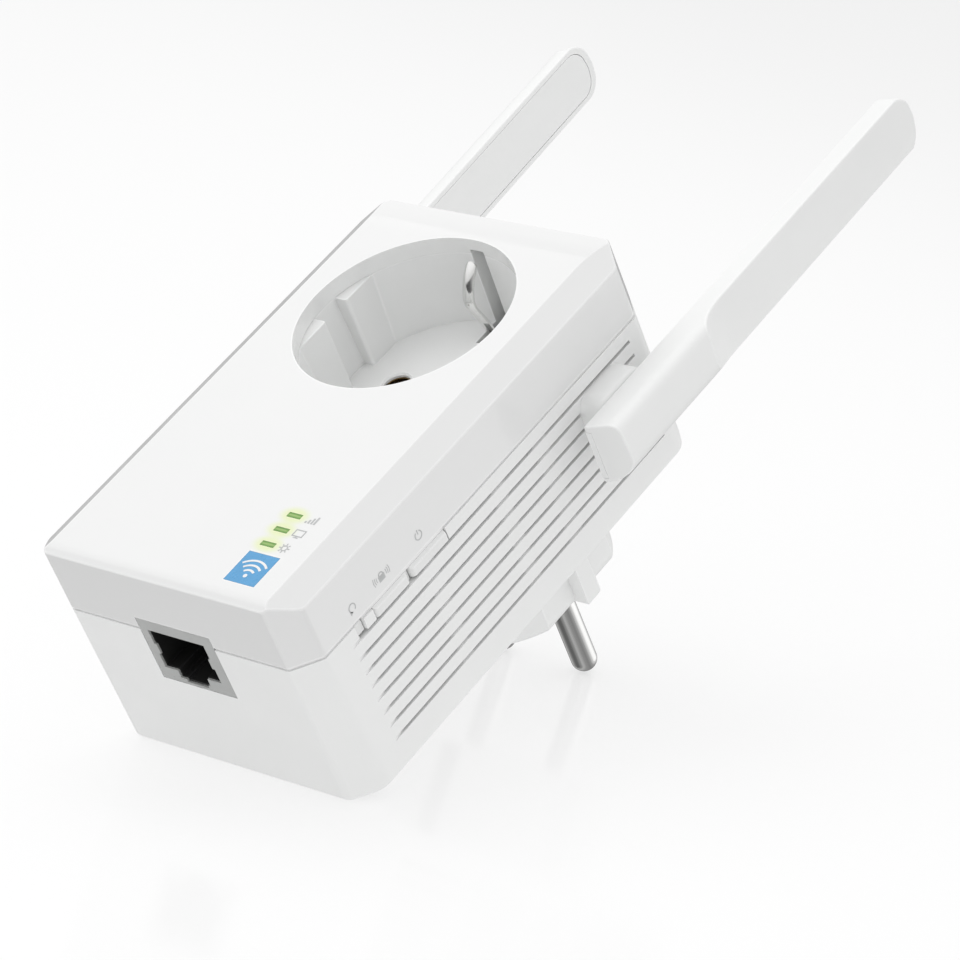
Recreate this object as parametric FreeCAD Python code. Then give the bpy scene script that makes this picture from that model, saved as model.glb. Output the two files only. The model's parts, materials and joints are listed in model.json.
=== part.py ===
import FreeCAD, Part
import math
import os

# Wifi range extender that plugs into a wall socket and passes the socket through to its front.
# Frame: the origin is the centre of the plug's mating face. +Y runs into the wall, +Z is up
# along the antennas and +X is the side with the keys. Lengths are in millimetres.

# Casing
HALF_WIDTH = 29.0           # half the width of the body
BODY_BOTTOM = -69.45        # end face with the network jack
BODY_TOP = 26.95            # end face beside the antennas
FRONT_TO_WALL = 61.5        # front face to the plug's mating face
BODY_DEPTH = 42.7           # front face to the back of the body
CORNER_X = 4.3              # corner chamfer, measured across
CORNER_Z = 4.4              # corner chamfer, measured along
SIDE_SOFT = (1.5, 4.5)      # soft edge of a chamfer and a side face, at the seam and at the back
END_SOFT = (0.8, 3.0)       # soft edge of a chamfer and an end face
CRISP = 0.35                # edge radius all round the front
FACE_HALF = 24.6            # half width of the flat of the front face
BEVEL_DROP = 2.78           # depth of the long bevels at the side faces
END_DROP = 0.82             # depth of the rolled ends of the front face
ROLL_BOTTOM = 2.6
ROLL_TOP = 8.5
SEAM_FRONT = 12.95          # depth where the front cover ends
SEAM_REAR = 13.5            # depth where the rear housing starts
COVER_WALL = 1.8
COVER_SKIN = 0.65           # what is left of the cover's wall outside the housing's tongue
SKIN_START = 11.6
TONGUE_OUT = 0.7            # how far the tongue's faces stand in from the outside
TONGUE_IN = 1.9
TONGUE_D = (11.75, 14.25)
STEP_IN = 0.3               # shallow step of the housing that shows as the seam line
SILL_IN = 0.45              # the same above the keys
STEP_START = 13.0
HOUSING_WALL = 2.0

# Socket in the front
WELL_R = 20.0
WELL_FLOOR_R = 19.5
WELL_DEPTH = 17.9
COLLAR_DEPTH = 3.2
CUP_OUTER_R = 21.6
CUP_FLOOR = 2.0
RIB_FACE = 17.05            # distance of the guide ribs' flat faces from the axis
RIB_GAP_HALF = 2.95         # half the notch between the two ribs of a side
PIN_HOLE_R = 2.6
PIN_SPACING_HALF = 9.5
CLIP_SLOT_HALF = 1.5
SLOT_MOUTH = 2.4            # depth where a clip's slot starts in the collar
SLOT_Z = (19.0, 22.6)       # slot in the wall of the well
FLOOR_SLOT_Z = (13.4, 22.4)
POCKET_HALF = 2.7           # closed pocket round the back of a slot
POCKET_Z = 23.6
CLIP_HALF = 1.15
CLIP_THICK = 0.8
CLIP_DOME = 0.35
CONTACT_R = 2.95
CONTACT_BORE_R = 2.42

# Plug on the back
PLUG_R = 18.7
PLUG_HEIGHT = 18.8
PLUG_FLAT = 15.9
PLUG_RIB = 18.6
PLUG_RIB_HALF = 1.9
PLUG_ROOM_R = 12.8          # hollow inside the plug
NECK_R = 14.5               # where the plug sits in the housing's back wall
PIN_R = 2.4
PIN_LENGTH = 19.0
PIN_ROOT_R = 2.0
EARTH_HOLE_Z = 10.0
EARTH_HOLE_R = 2.55

# Louvres in both side faces
LOUVRE_COUNT = 8
LOUVRE_FIRST = 16.25
LOUVRE_PITCH = 2.95
LOUVRE_HEIGHT = 0.65
LOUVRE_SPANS = ((-56.8, -39.8), (-36.8, -20.65), (-17.3, -8.8), (-5.15, 19.2))
LOUVRE_TAIL = 2.5

# Network jack in the lower end face
JACK_X = (-8.7, 8.1)
JACK_D = (10.95, 24.2)
JACK_REACH = 16.0
JACK_GAP = 0.12             # play between the jack and the casing

# Antennas
PIVOT_D = 22.8
PIVOT_Z = 9.95
PEDESTAL_X = 34.0
PEDESTAL_D = (16.6, 28.2)
PEDESTAL_Z = (3.2, 15.9)
ARM_INNER_X = 34.5
ARM_BOTTOM = -2.05
ARM_TIP = 92.55
BLADE_X = 39.6
SCOOP_START = 23.75
SCOOP_END = 32.75
ARM_OUTER_X = 43.2
ARM_EDGE = 0.3              # edge radius of an arm
TIP_SLANT = 0.2             # how much shorter an arm is per millimetre outwards
ARM_TAPER = 0.294           # how much an arm's front comes forward per millimetre outwards
SEAT_D = (17.4, 27.45)      # recess for the cover plate on the inner face
SEAT_FLOOR_X = 35.85
SEAT_TOP = 92.0
COVER_PLATE_X = 34.55       # the cover plate's inner face
HUB_R = 3.3
HUB_BORE_R = 1.4
LEFT_LEAN = 2.3             # degrees the left antenna is turned forward

# Keys beside the seam
KEY_D = (13.85, 16.0)
KEY_FACE = 28.95            # how far out the two long keys reach
KEY_ROUND = 0.8
KEY_LAP = 0.7               # how far a key's flange reaches behind the wall
KEY_LAP_SHORT = 0.3         # the same where two keys meet
WINDOW_D = (13.8, 16.1)
RESET_Z = (-57.2, -55.2)
PAIR_Z = (-52.45, -43.3)
POWER_Z = (-42.4, -32.95)
PLUNGER_R = 0.9
PLUNGER_D = 14.4

PILOT_R = 0.92              # bore for a small screw
SCREW_POSTS = ((-22.8, -64.0), (22.8, -64.0), (-22.6, 21.2), (22.6, 21.2))
BOARD_POSTS = ((22.0, -29.0), (-22.0, -29.0), (-14.5, -57.0))
POWER_POSTS = ((20.0, -27.0), (-20.0, -27.0))
LED_X = 15.5
LED_Z = (-49.25, -52.75, -56.3)
MAIN_BOARD_D = (9.3, 10.9)
POWER_BOARD_D = (38.0, 39.6)

V = FreeCAD.Vector
os.makedirs("parts", exist_ok=True)


def at(d):
    """Row-frame Y of a depth measured from the front face."""
    return d - FRONT_TO_WALL


def block(x0, x1, d0, d1, z0, z1):
    return Part.makeBox(x1 - x0, d1 - d0, z1 - z0, V(x0, at(d0), z0))


def post(radius, d0, d1, x, z):
    """A cylinder that runs from depth d0 to depth d1."""
    return Part.makeCylinder(radius, d1 - d0, V(x, at(d0), z), V(0, 1, 0))


def axle(radius, x0, x1, d, z):
    return Part.makeCylinder(radius, x1 - x0, V(x0, at(d), z), V(1, 0, 0))


def join(shapes):
    result = shapes[0]
    if len(shapes) > 1:
        result = shapes[0].multiFuse(shapes[1:])
    return result.removeSplitter()


def carve(shape, tools):
    return shape.cut(Part.makeCompound(tools))


def plate_xz(points, d0, d1):
    """A prism with its outline in X and Z."""
    corners = [V(x, at(d0), z) for x, z in points]
    face = Part.Face(Part.makePolygon(corners + corners[:1]))
    return face.extrude(V(0, d1 - d0, 0))


def prism_z(points, z0, z1):
    """A prism along Z with its section in X and depth."""
    corners = [V(x, at(d), z0) for x, d in points]
    face = Part.Face(Part.makePolygon(corners + corners[:1]))
    return face.extrude(V(0, 0, z1 - z0))


def lead(points, radius):
    """A round wire along a smooth curve through the points (x, depth, z)."""
    curve = Part.BSplineCurve()
    curve.interpolate([V(x, at(d), z) for x, d, z in points])
    spine = Part.Wire(curve.toShape())
    start = curve.value(curve.FirstParameter)
    heading = curve.tangent(curve.FirstParameter)[0]
    ring = Part.Wire(Part.Circle(start, heading, radius).toShape())
    return spine.makePipeShell([ring], True, True)


def bent_lead(points, radius):
    """A round wire of straight runs with rounded corners through the points (x, depth, z)."""
    places = [V(x, at(d), z) for x, d, z in points]
    runs = [Part.makeSphere(radius, place) for place in places[1:-1]]
    for first, second in zip(places, places[1:]):
        run = second - first
        runs.append(Part.makeCylinder(radius, run.Length, first, run))
    return join(runs)


def mirrored(shape):
    return shape.mirror(V(0, 0, 0), V(1, 0, 0))


def across(sign, near, far):
    """The limits of a span on one side of zero, in rising order."""
    return sorted((sign * near, sign * far))


def body_outline(inset):
    """The body's eight-sided outline, moved inwards by the inset."""
    half = HALF_WIDTH - inset
    low = BODY_BOTTOM + inset
    high = BODY_TOP - inset
    cx = CORNER_X - 0.586 * inset
    cz = CORNER_Z - 0.586 * inset
    return [(-half, low + cz), (-half + cx, low), (half - cx, low), (half, low + cz),
            (half, high - cz), (half - cx, high), (-half + cx, high), (-half, high - cz)]


def upright_edges(shape, is_wanted):
    """Edges along the depth whose first end passes the test."""
    picked = []
    for edge in shape.Edges:
        if edge.BoundBox.YLength > 0.5 and edge.BoundBox.XLength < 0.01:
            if is_wanted(edge.Vertexes[0].Point):
                picked.append(edge)
    return picked


def body_slab(inset, d0, d1, side_soft=None, end_soft=None):
    """The body's outline as a prism. A soft edge is given by its radius at d0 and at d1."""
    slab = plate_xz(body_outline(inset), d0, d1)
    if side_soft is None:
        radius = max(0.3, SIDE_SOFT[0] - 0.5 * inset)
        side_soft = (radius, radius)
    half = HALF_WIDTH - inset
    sides = upright_edges(slab, lambda p: abs(abs(p.x) - half) < 0.01)
    slab = slab.makeFillet(side_soft[0], side_soft[1], sides)
    if end_soft is not None:
        ends = upright_edges(slab, lambda p: p.z < BODY_BOTTOM + 0.01 or p.z > BODY_TOP - 0.01)
        slab = slab.makeFillet(end_soft[0], end_soft[1], ends)
    return slab


def rolled_profile():
    """Section along Z whose front line rolls down to both end faces."""
    def fall(run, total, part):
        radius = (total ** 2 + END_DROP ** 2) / (2 * END_DROP)
        return radius - math.sqrt(radius ** 2 - (run * part) ** 2)

    low_mid = V(-40, at(fall(ROLL_BOTTOM, ROLL_BOTTOM, 0.5)), BODY_BOTTOM + ROLL_BOTTOM / 2)
    high_mid = V(-40, at(fall(ROLL_TOP, ROLL_TOP, 0.5)), BODY_TOP - ROLL_TOP / 2)
    low_end = V(-40, at(END_DROP), BODY_BOTTOM)
    low_flat = V(-40, at(0), BODY_BOTTOM + ROLL_BOTTOM)
    high_flat = V(-40, at(0), BODY_TOP - ROLL_TOP)
    high_end = V(-40, at(END_DROP), BODY_TOP)
    low_back = V(-40, at(SEAM_FRONT), BODY_BOTTOM)
    high_back = V(-40, at(SEAM_FRONT), BODY_TOP)
    wire = Part.Wire([
        Part.Arc(low_end, low_mid, low_flat).toShape(),
        Part.makeLine(low_flat, high_flat),
        Part.Arc(high_flat, high_mid, high_end).toShape(),
        Part.makeLine(high_end, high_back),
        Part.makeLine(high_back, low_back),
        Part.makeLine(low_back, low_end)])
    return Part.Face(wire).extrude(V(80, 0, 0))


def clip_leg():
    """One sprung earth clip: from its tip in the well to its foot behind the well's floor."""
    path = [(17.9, 3.1), (15.7, 5.0), (14.1, 7.6), (13.6, 9.1), (14.4, 12.65), (15.6, 16.8), (15.9, 18.5),
            (15.9, 20.9)]
    curve = Part.BSplineCurve()
    curve.interpolate([V(0, at(d), z) for z, d in path])
    start = curve.value(curve.FirstParameter)
    heading = curve.tangent(curve.FirstParameter)[0]
    back = heading.cross(V(-1, 0, 0))
    back.normalize()
    wide = V(CLIP_HALF, 0, 0)
    left = start - wide + back * CLIP_DOME
    right = start + wide + back * CLIP_DOME
    section = Part.Wire([
        Part.Arc(left, start, right).toShape(),
        Part.makeLine(right, start + wide + back * CLIP_THICK),
        Part.makeLine(start + wide + back * CLIP_THICK, start - wide + back * CLIP_THICK),
        Part.makeLine(start - wide + back * CLIP_THICK, left)])
    leg = Part.Wire(curve.toShape()).makePipeShell([section], True, False)
    centre = start + heading * CLIP_HALF
    corner = Part.makeBox(4, 1.0 + CLIP_HALF, 4, V(-2, -1.0, -2))
    corner = corner.cut(Part.makeCylinder(CLIP_HALF, 8, V(0, CLIP_HALF, -4), V(0, 0, 1)))
    corner.Placement = FreeCAD.Placement(start, FreeCAD.Rotation(V(-1, 0, 0), heading, back, "ZYX"))
    return leg.cut(corner)


def make_front_cover():
    end_soft = (END_SOFT[0], END_SOFT[0])
    outer = body_slab(0, -0.5, SEAM_FRONT, end_soft=end_soft)
    section = [(-HALF_WIDTH, SEAM_FRONT), (-HALF_WIDTH, BEVEL_DROP), (-FACE_HALF, 0),
               (FACE_HALF, 0), (HALF_WIDTH, BEVEL_DROP), (HALF_WIDTH, SEAM_FRONT)]
    outer = outer.common(prism_z(section, BODY_BOTTOM - 1, BODY_TOP + 1))
    outer = outer.common(rolled_profile())
    outer = outer.makeFillet(CRISP, [e for e in outer.Edges if e.BoundBox.YMax < at(5)])
    inner_half = HALF_WIDTH - COVER_WALL
    hollow = [(-inner_half, SEAM_FRONT + 1), (-inner_half, BEVEL_DROP + 1.4), (-23.9, 2.1),
              (23.9, 2.1), (inner_half, BEVEL_DROP + 1.4), (inner_half, SEAM_FRONT + 1)]
    inner = body_slab(COVER_WALL, 1.0, SEAM_FRONT + 1)
    inner = inner.common(prism_z(hollow, BODY_BOTTOM - 1, BODY_TOP + 1))
    shell = outer.cut(inner)
    shell = shell.cut(body_slab(COVER_SKIN, SKIN_START, SEAM_FRONT + 1))
    adds = [post(CUP_OUTER_R, 1.2, COLLAR_DEPTH, 0, 0)]
    for sign in (-1, 1):
        z0, z1 = across(sign, WELL_R, POCKET_Z)
        adds.append(block(-POCKET_HALF, POCKET_HALF, 1.2, COLLAR_DEPTH, z0, z1))
    for x, z in SCREW_POSTS:
        adds.append(post(3.0, 1.4, 27.9, x, z))
    for x, z in BOARD_POSTS:
        adds.append(post(2.2, 1.4, MAIN_BOARD_D[0] - 0.02, x, z))
    shell = join([shell] + adds)
    cuts = [post(WELL_R, -1, COLLAR_DEPTH + 1, 0, 0)]
    for sign in (-1, 1):
        z0, z1 = across(sign, SLOT_Z[0], SLOT_Z[1])
        cuts.append(block(-CLIP_SLOT_HALF, CLIP_SLOT_HALF, SLOT_MOUTH, 4.0, z0, z1))
    for x, z in SCREW_POSTS:
        cuts.append(post(1.27, 16.0, 29.0, x, z))
    for x, z in BOARD_POSTS:
        cuts.append(post(PILOT_R, 5.0, 10.0, x, z))
    for z in LED_Z:
        cuts.append(block(LED_X - 1.5, LED_X + 1.5, -1, 5, z - 0.55, z + 0.55))
    cuts.append(block(13.3, 20.05, -1, 0.2, -65.5, -58.5))
    cuts.append(jack_room(JACK_D[0] - JACK_GAP, 14))
    return carve(shell, cuts)


def jack_room(d0, d1):
    """The hole in the lower end wall that the jack sits in."""
    return block(JACK_X[0] - JACK_GAP, JACK_X[1] + JACK_GAP, d0, d1, BODY_BOTTOM - 1, -67)


def louvre_cuts(sign):
    """Slots of one side: a shallow groove along each row, cut through in four spans."""
    tools = []
    for row in range(LOUVRE_COUNT):
        d = LOUVRE_FIRST + LOUVRE_PITCH * row
        d0 = d - LOUVRE_HEIGHT / 2
        d1 = d + LOUVRE_HEIGHT / 2
        first = LOUVRE_SPANS[0][0]
        last = LOUVRE_SPANS[-1][1]
        for z0, z1 in LOUVRE_SPANS:
            tools.append(block(26.5, 29.5, d0, d1, z0, z1))
        tools.append(block(28.4, 29.5, d0, d1, first - 0.2, last + 0.2))
        low = [V(29.5, at(d0), first - 0.2), V(28.5, at(d0), first - 0.2),
               V(29.01, at(d0), first - LOUVRE_TAIL), V(29.5, at(d0), first - LOUVRE_TAIL)]
        face = Part.Face(Part.makePolygon(low + low[:1]))
        tools.append(face.extrude(V(0, d1 - d0, 0)))
    compound = Part.makeCompound(tools)
    if sign < 0:
        compound = mirrored(compound)
    return compound


def make_pedestal():
    """Rounded square foot of one antenna, on the right side."""
    d0, d1 = PEDESTAL_D
    z0, z1 = PEDESTAL_Z
    pad = block(HALF_WIDTH - HOUSING_WALL, PEDESTAL_X, d0, d1, z0, z1)
    pad = pad.makeFillet(3.0, [e for e in pad.Edges if e.BoundBox.XLength > 1])
    return pad.makeFillet(1.2, [e for e in pad.Edges if e.BoundBox.XMin > PEDESTAL_X - 0.01])


def make_rear_housing():
    outer = body_slab(0, SEAM_REAR, BODY_DEPTH, SIDE_SOFT, END_SOFT)
    rim = []
    for edge in outer.Edges:
        if abs(edge.BoundBox.YMin - at(BODY_DEPTH)) < 0.01:
            rim.append(edge)
    outer = outer.makeFillet(0.45, rim)
    inner = body_slab(HOUSING_WALL, SEAM_REAR - 1, BODY_DEPTH - HOUSING_WALL)
    shell = outer.cut(inner)
    tongue = body_slab(TONGUE_OUT, TONGUE_D[0], TONGUE_D[1])
    tongue = tongue.cut(body_slab(TONGUE_IN, TONGUE_D[0] - 1, TONGUE_D[1] + 1))
    tongue = tongue.cut(block(JACK_X[0] - 0.5, JACK_X[1] + 0.5, 10, 26, BODY_BOTTOM - 1, -60))
    step = body_slab(STEP_IN, STEP_START, TONGUE_D[1])
    step = step.cut(body_slab(TONGUE_IN, STEP_START - 1, TONGUE_D[1] + 1))
    step = step.cut(block(JACK_X[0] - JACK_GAP, JACK_X[1] + JACK_GAP, 12, 26, BODY_BOTTOM - 1, -60))
    shell = join([shell, tongue, step])
    shell = shell.cut(louvre_cuts(1))
    shell = shell.cut(louvre_cuts(-1))
    pad = make_pedestal()
    adds = [pad, mirrored(pad)]
    for x, z in SCREW_POSTS:
        adds.append(post(3.4, 28.1, BODY_DEPTH - 1, x, z))
    for x, z in POWER_POSTS:
        adds.append(post(2.4, POWER_BOARD_D[1] + 0.02, BODY_DEPTH - 1, x, z))
    shell = join([shell] + adds)
    cuts = [axle(HUB_R + 0.06, 20, 36, PIVOT_D, PIVOT_Z),
            axle(HUB_R + 0.06, -36, -20, PIVOT_D, PIVOT_Z),
            block(HALF_WIDTH - 3, HALF_WIDTH + 1, 13.45, WINDOW_D[1], -57.35, -55.05),
            block(HALF_WIDTH - 3, HALF_WIDTH + 1, WINDOW_D[0], WINDOW_D[1], -52.65, -32.75),
            block(HALF_WIDTH - SILL_IN, HALF_WIDTH + 1, 12.9, WINDOW_D[0], -57.35, -32.75),
            jack_room(12, JACK_D[1] + JACK_GAP),
            post(NECK_R + 0.05, BODY_DEPTH - 3, BODY_DEPTH + 1, 0, 0)]
    for sign in (-1, 1):
        z0, z1 = across(sign, 17.2, 18.3)
        cuts.append(block(-2.3, 2.3, BODY_DEPTH - 3, BODY_DEPTH + 1, z0, z1))
    for x, z in SCREW_POSTS:
        cuts.append(post(1.4, 27, BODY_DEPTH + 1, x, z))
        cuts.append(post(2.7, 31.1, BODY_DEPTH + 1, x, z))
    for x, z in POWER_POSTS:
        cuts.append(post(PILOT_R, 38, BODY_DEPTH - 0.5, x, z))
    shell = carve(shell, cuts)
    web = block(26.8, 27.9, WINDOW_D[0] - 0.3, WINDOW_D[1] + 0.3, PAIR_Z[1] + 0.15, POWER_Z[0] - 0.15)
    return join([shell, web])


def make_socket_insert():
    top = COLLAR_DEPTH + 0.02
    bottom = WELL_DEPTH + CUP_FLOOR
    cup = post(CUP_OUTER_R, top, bottom, 0, 0)
    hollow = Part.makeCone(WELL_R, WELL_FLOOR_R, WELL_DEPTH - top, V(0, at(top), 0), V(0, 1, 0))
    cup = cup.cut(hollow)
    adds = []
    disc = post(WELL_R + 0.8, top, WELL_DEPTH + 0.5, 0, 0)
    for sx in (-1, 1):
        x0, x1 = across(sx, RIB_FACE, 22)
        for sz in (-1, 1):
            z0, z1 = across(sz, RIB_GAP_HALF, 12)
            rib = disc.common(block(x0, x1, top, WELL_DEPTH + 0.5, z0, z1))
            corner = upright_edges(rib, lambda p: abs(abs(p.x) - RIB_FACE) < 0.01 and abs(p.z) < 5)
            adds.append(rib.makeFillet(0.5, corner))
            adds.append(post(2.0, WELL_DEPTH + 1, BODY_DEPTH - HOUSING_WALL - 0.05, sx * 12.2, sz * 12.2))
    for sign in (-1, 1):
        z0, z1 = across(sign, 20.5, POCKET_Z)
        adds.append(block(-POCKET_HALF, POCKET_HALF, top, bottom, z0, z1))
    cup = join([cup] + adds)
    cuts = []
    for sign in (-1, 1):
        x = sign * PIN_SPACING_HALF
        cuts.append(post(PIN_HOLE_R, WELL_DEPTH - 1, WELL_DEPTH + 3, x, 0))
        cuts.append(Part.makeCone(PIN_HOLE_R + 0.35, PIN_HOLE_R, 0.35, V(x, at(WELL_DEPTH), 0), V(0, 1, 0)))
        cuts.append(post(3.3, WELL_DEPTH + 0.8, WELL_DEPTH + 3, x, 0))
        z0, z1 = across(sign, SLOT_Z[0], SLOT_Z[1])
        cuts.append(block(-CLIP_SLOT_HALF, CLIP_SLOT_HALF, top - 1, WELL_DEPTH, z0, z1))
        z0, z1 = across(sign, FLOOR_SLOT_Z[0], FLOOR_SLOT_Z[1])
        cuts.append(block(-CLIP_SLOT_HALF, CLIP_SLOT_HALF, WELL_DEPTH - 0.4, WELL_DEPTH + 3, z0, z1))
    return carve(cup, cuts)


def make_earth_bracket():
    leg = clip_leg()
    other = leg.mirror(V(0, 0, 0), V(0, 0, 1))
    bar = block(-CLIP_HALF, CLIP_HALF, 20.3, 21.0, -16.6, 16.6)
    return join([bar, leg, other])


def make_contact():
    tube = post(CONTACT_R, WELL_DEPTH + 0.85, 31.5, PIN_SPACING_HALF, 0)
    tail = block(8.0, 11.0, 31.0, 33.0, -1.2, 1.2)
    tube = join([tube, tail])
    cuts = [post(CONTACT_BORE_R, WELL_DEPTH, 30.5, PIN_SPACING_HALF, 0),
            block(PIN_SPACING_HALF - 4, PIN_SPACING_HALF + 4, WELL_DEPTH, 28, -0.3, 0.3)]
    return carve(tube, cuts)


def make_plug_base():
    disc = post(PLUG_R, BODY_DEPTH, FRONT_TO_WALL, 0, 0)
    core = disc.common(block(-PLUG_FLAT, PLUG_FLAT, 40, 63, -20, 20))
    core = core.makeFillet(2.0, [e for e in core.Edges if e.BoundBox.YMin > -0.01])
    ribs = block(-PLUG_RIB, PLUG_RIB, BODY_DEPTH, FRONT_TO_WALL, -PLUG_RIB_HALF, PLUG_RIB_HALF)
    ribs = ribs.makeFillet(1.0, [e for e in ribs.Edges if e.BoundBox.YMin > -0.01])
    core = join([core, ribs])
    core = join([core, post(NECK_R, BODY_DEPTH - 2.1, BODY_DEPTH + 1, 0, 0)])
    room = post(PLUG_ROOM_R, BODY_DEPTH - 3, FRONT_TO_WALL - 2.5, 0, 0)
    keep = [post(4.0, 38, 62, PIN_SPACING_HALF, 0),
            post(4.0, 38, 62, -PIN_SPACING_HALF, 0),
            post(4.0, 38, 62, 0, EARTH_HOLE_Z)]
    core = core.cut(carve(room, keep))
    cuts = [post(EARTH_HOLE_R, FRONT_TO_WALL - 16, FRONT_TO_WALL + 1, 0, EARTH_HOLE_Z)]
    for sign in (-1, 1):
        cuts.append(post(PIN_ROOT_R + 0.02, 38, 63, sign * PIN_SPACING_HALF, 0))
        z0, z1 = across(sign, 17.2, 19.0)
        cuts.append(block(-2.3, 2.3, BODY_DEPTH - 3, FRONT_TO_WALL - 1.2, z0, z1))
    return carve(core, cuts)


def make_plug_pin(x):
    tip = FRONT_TO_WALL + PIN_LENGTH - PIN_R
    shaft = post(PIN_R, FRONT_TO_WALL + 0.02, tip, x, 0)
    root = post(PIN_ROOT_R, 40.2, FRONT_TO_WALL + 1, x, 0)
    ball = Part.makeSphere(PIN_R, V(x, at(tip), 0))
    return join([shaft, root, ball])


def make_plug_earth(sign):
    z0, z1 = across(sign, 17.3, 18.1)
    strip = block(-2.2, 2.2, 39.6, FRONT_TO_WALL - 1.4, z0, z1)
    z0, z1 = across(sign, 1.6, 18.1)
    foot = block(-1.2, 1.2, 39.6, 40.4, z0, z1)
    return join([strip, foot])


def make_jack_shield():
    x0, x1 = JACK_X
    d0, d1 = JACK_D
    z0 = BODY_BOTTOM + 0.05
    z1 = z0 + JACK_REACH
    can = block(x0, x1, d0, d1, z0, z1)
    room = block(x0 + 0.3, x1 - 0.3, d0 + 0.3, d1 - 0.3, z0 + 0.4, z1 - 0.3)
    mouth = [block(-7.05, 5.75, 13.2, 21.6, z0 - 1, z0 + 1),
             block(-4.2, 2.55, 21.5, 23.2, z0 - 1, z0 + 1),
             block(-2.9, 2.0, 23.1, 23.85, z0 - 1, z0 + 1)]
    can = carve(can, [room] + mouth)
    tabs = [block(-7.2, -6.55, 16.4, 18.5, z0, z0 + 0.4), block(5.25, 5.9, 16.4, 18.5, z0, z0 + 0.4)]
    return join([can] + tabs)


def make_jack_insert():
    x0, x1 = JACK_X
    d0, d1 = JACK_D
    z0 = BODY_BOTTOM + 0.5
    z1 = BODY_BOTTOM + JACK_REACH - 0.35
    body = block(x0 + 0.35, x1 - 0.35, d0 + 0.35, d1 - 0.35, z0, z1)
    cavity = [block(-6.95, 5.65, 13.3, 21.5, z0 - 1, z0 + 13.0),
              block(-4.1, 2.45, 21.4, 23.1, z0 - 1, z0 + 13.0),
              block(-2.8, 1.9, 23.0, 23.5, z0 - 1, z0 + 7.0)]
    return carve(body, cavity)


def make_jack_contacts():
    wires = []
    for index in range(8):
        x = -0.65 + (index - 3.5) * 1.02
        low = V(x, at(13.45), BODY_BOTTOM + 3.0)
        high = V(x, at(16.4), BODY_BOTTOM + 11.5)
        span = high - low
        wires.append(Part.makeCylinder(0.16, span.Length, low, span))
    return Part.makeCompound(wires)


def tip_outline(front, rear, low, high, r_front, r_rear, x0, x1, lean=0, slant=0):
    """Side view of an arm: a long plate whose far end is rounded and slightly domed."""
    dome = 0.35
    a = V(x0, at(front), low)
    b = V(x0, at(front), high - r_front - dome)
    c = V(x0, at(front + r_front), high - dome * 0.6)
    e = V(x0, at(rear - r_rear), high - dome * 0.6)
    f = V(x0, at(rear), high - r_rear - dome)
    g = V(x0, at(rear), low)
    s = 1 - math.sqrt(0.5)
    m1 = V(x0, at(front + r_front * s), high - dome - r_front * s + 0.03)
    m2 = V(x0, at(rear - r_rear * s), high - dome - r_rear * s + 0.03)
    top = V(x0, at((front + rear) / 2), high)
    wire = Part.Wire([
        Part.makeLine(a, b),
        Part.Arc(b, m1, c).toShape(),
        Part.Arc(c, top, e).toShape(),
        Part.Arc(e, m2, f).toShape(),
        Part.makeLine(f, g),
        Part.makeLine(g, a)])
    return Part.Face(wire).extrude(V(x1 - x0, -lean * (x1 - x0), -slant * (x1 - x0)))


def arm_section():
    """Section of an arm's thick end, in X and depth."""
    def p(x, d):
        return V(x, at(d), ARM_BOTTOM)

    outer = Part.BSplineCurve()
    outer.interpolate([p(40.0, 14.78), p(41.0, 14.66), p(41.95, 14.85), p(42.6, 15.6), p(42.85, 17.2),
                       p(43.1, 19.0), p(43.2, 20.8), p(42.75, 23.0), p(40.9, 25.2), p(38.6, 26.9),
                       p(36.2, 28.05), p(ARM_INNER_X, 28.45)])
    wire = Part.Wire([
        Part.makeLine(p(ARM_INNER_X, 16.4), p(40.0, 14.78)),
        outer.toShape(),
        Part.makeLine(p(ARM_INNER_X, 28.45), p(ARM_INNER_X, 16.4))])
    return Part.Face(wire)


def scoop_tool():
    """Everything outside the thin blade: starts at a crisp edge and sweeps down to it."""
    rise = ARM_OUTER_X - BLADE_X
    run = SCOOP_END - SCOOP_START
    radius = (rise ** 2 + run ** 2) / (2 * rise)

    def on_arc(x):
        return SCOOP_END - math.sqrt(radius ** 2 - (BLADE_X + radius - x) ** 2)

    def p(x, z):
        return V(x, at(10), z)

    wire = Part.Wire([
        Part.Arc(p(BLADE_X, SCOOP_END), p(41.2, on_arc(41.2)), p(44.5, on_arc(44.5))).toShape(),
        Part.makeLine(p(44.5, on_arc(44.5)), p(44.5, 96)),
        Part.makeLine(p(44.5, 96), p(BLADE_X, 96)),
        Part.makeLine(p(BLADE_X, 96), p(BLADE_X, SCOOP_END))])
    return Part.Face(wire).extrude(V(0, 25, 0))


def soften_arm(arm):
    """Rounds an arm's inner outline, the outline of its blade and its lower end."""
    def touches_end(edge):
        return edge.BoundBox.ZMin < ARM_BOTTOM + 0.5 and edge.BoundBox.ZLength < 1

    inner = [e for e in arm.Edges if e.BoundBox.XMax < ARM_INNER_X + 0.01 and not touches_end(e)]
    arm = arm.makeFillet(ARM_EDGE, inner)
    blade = [e for e in arm.Edges if e.BoundBox.XMin > BLADE_X - 0.01 and e.BoundBox.XMax < BLADE_X + 0.01]
    arm = arm.makeFillet(ARM_EDGE, blade)
    end = [e for e in arm.Edges if touches_end(e)]
    return arm.makeFillet(ARM_EDGE, end)


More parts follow.
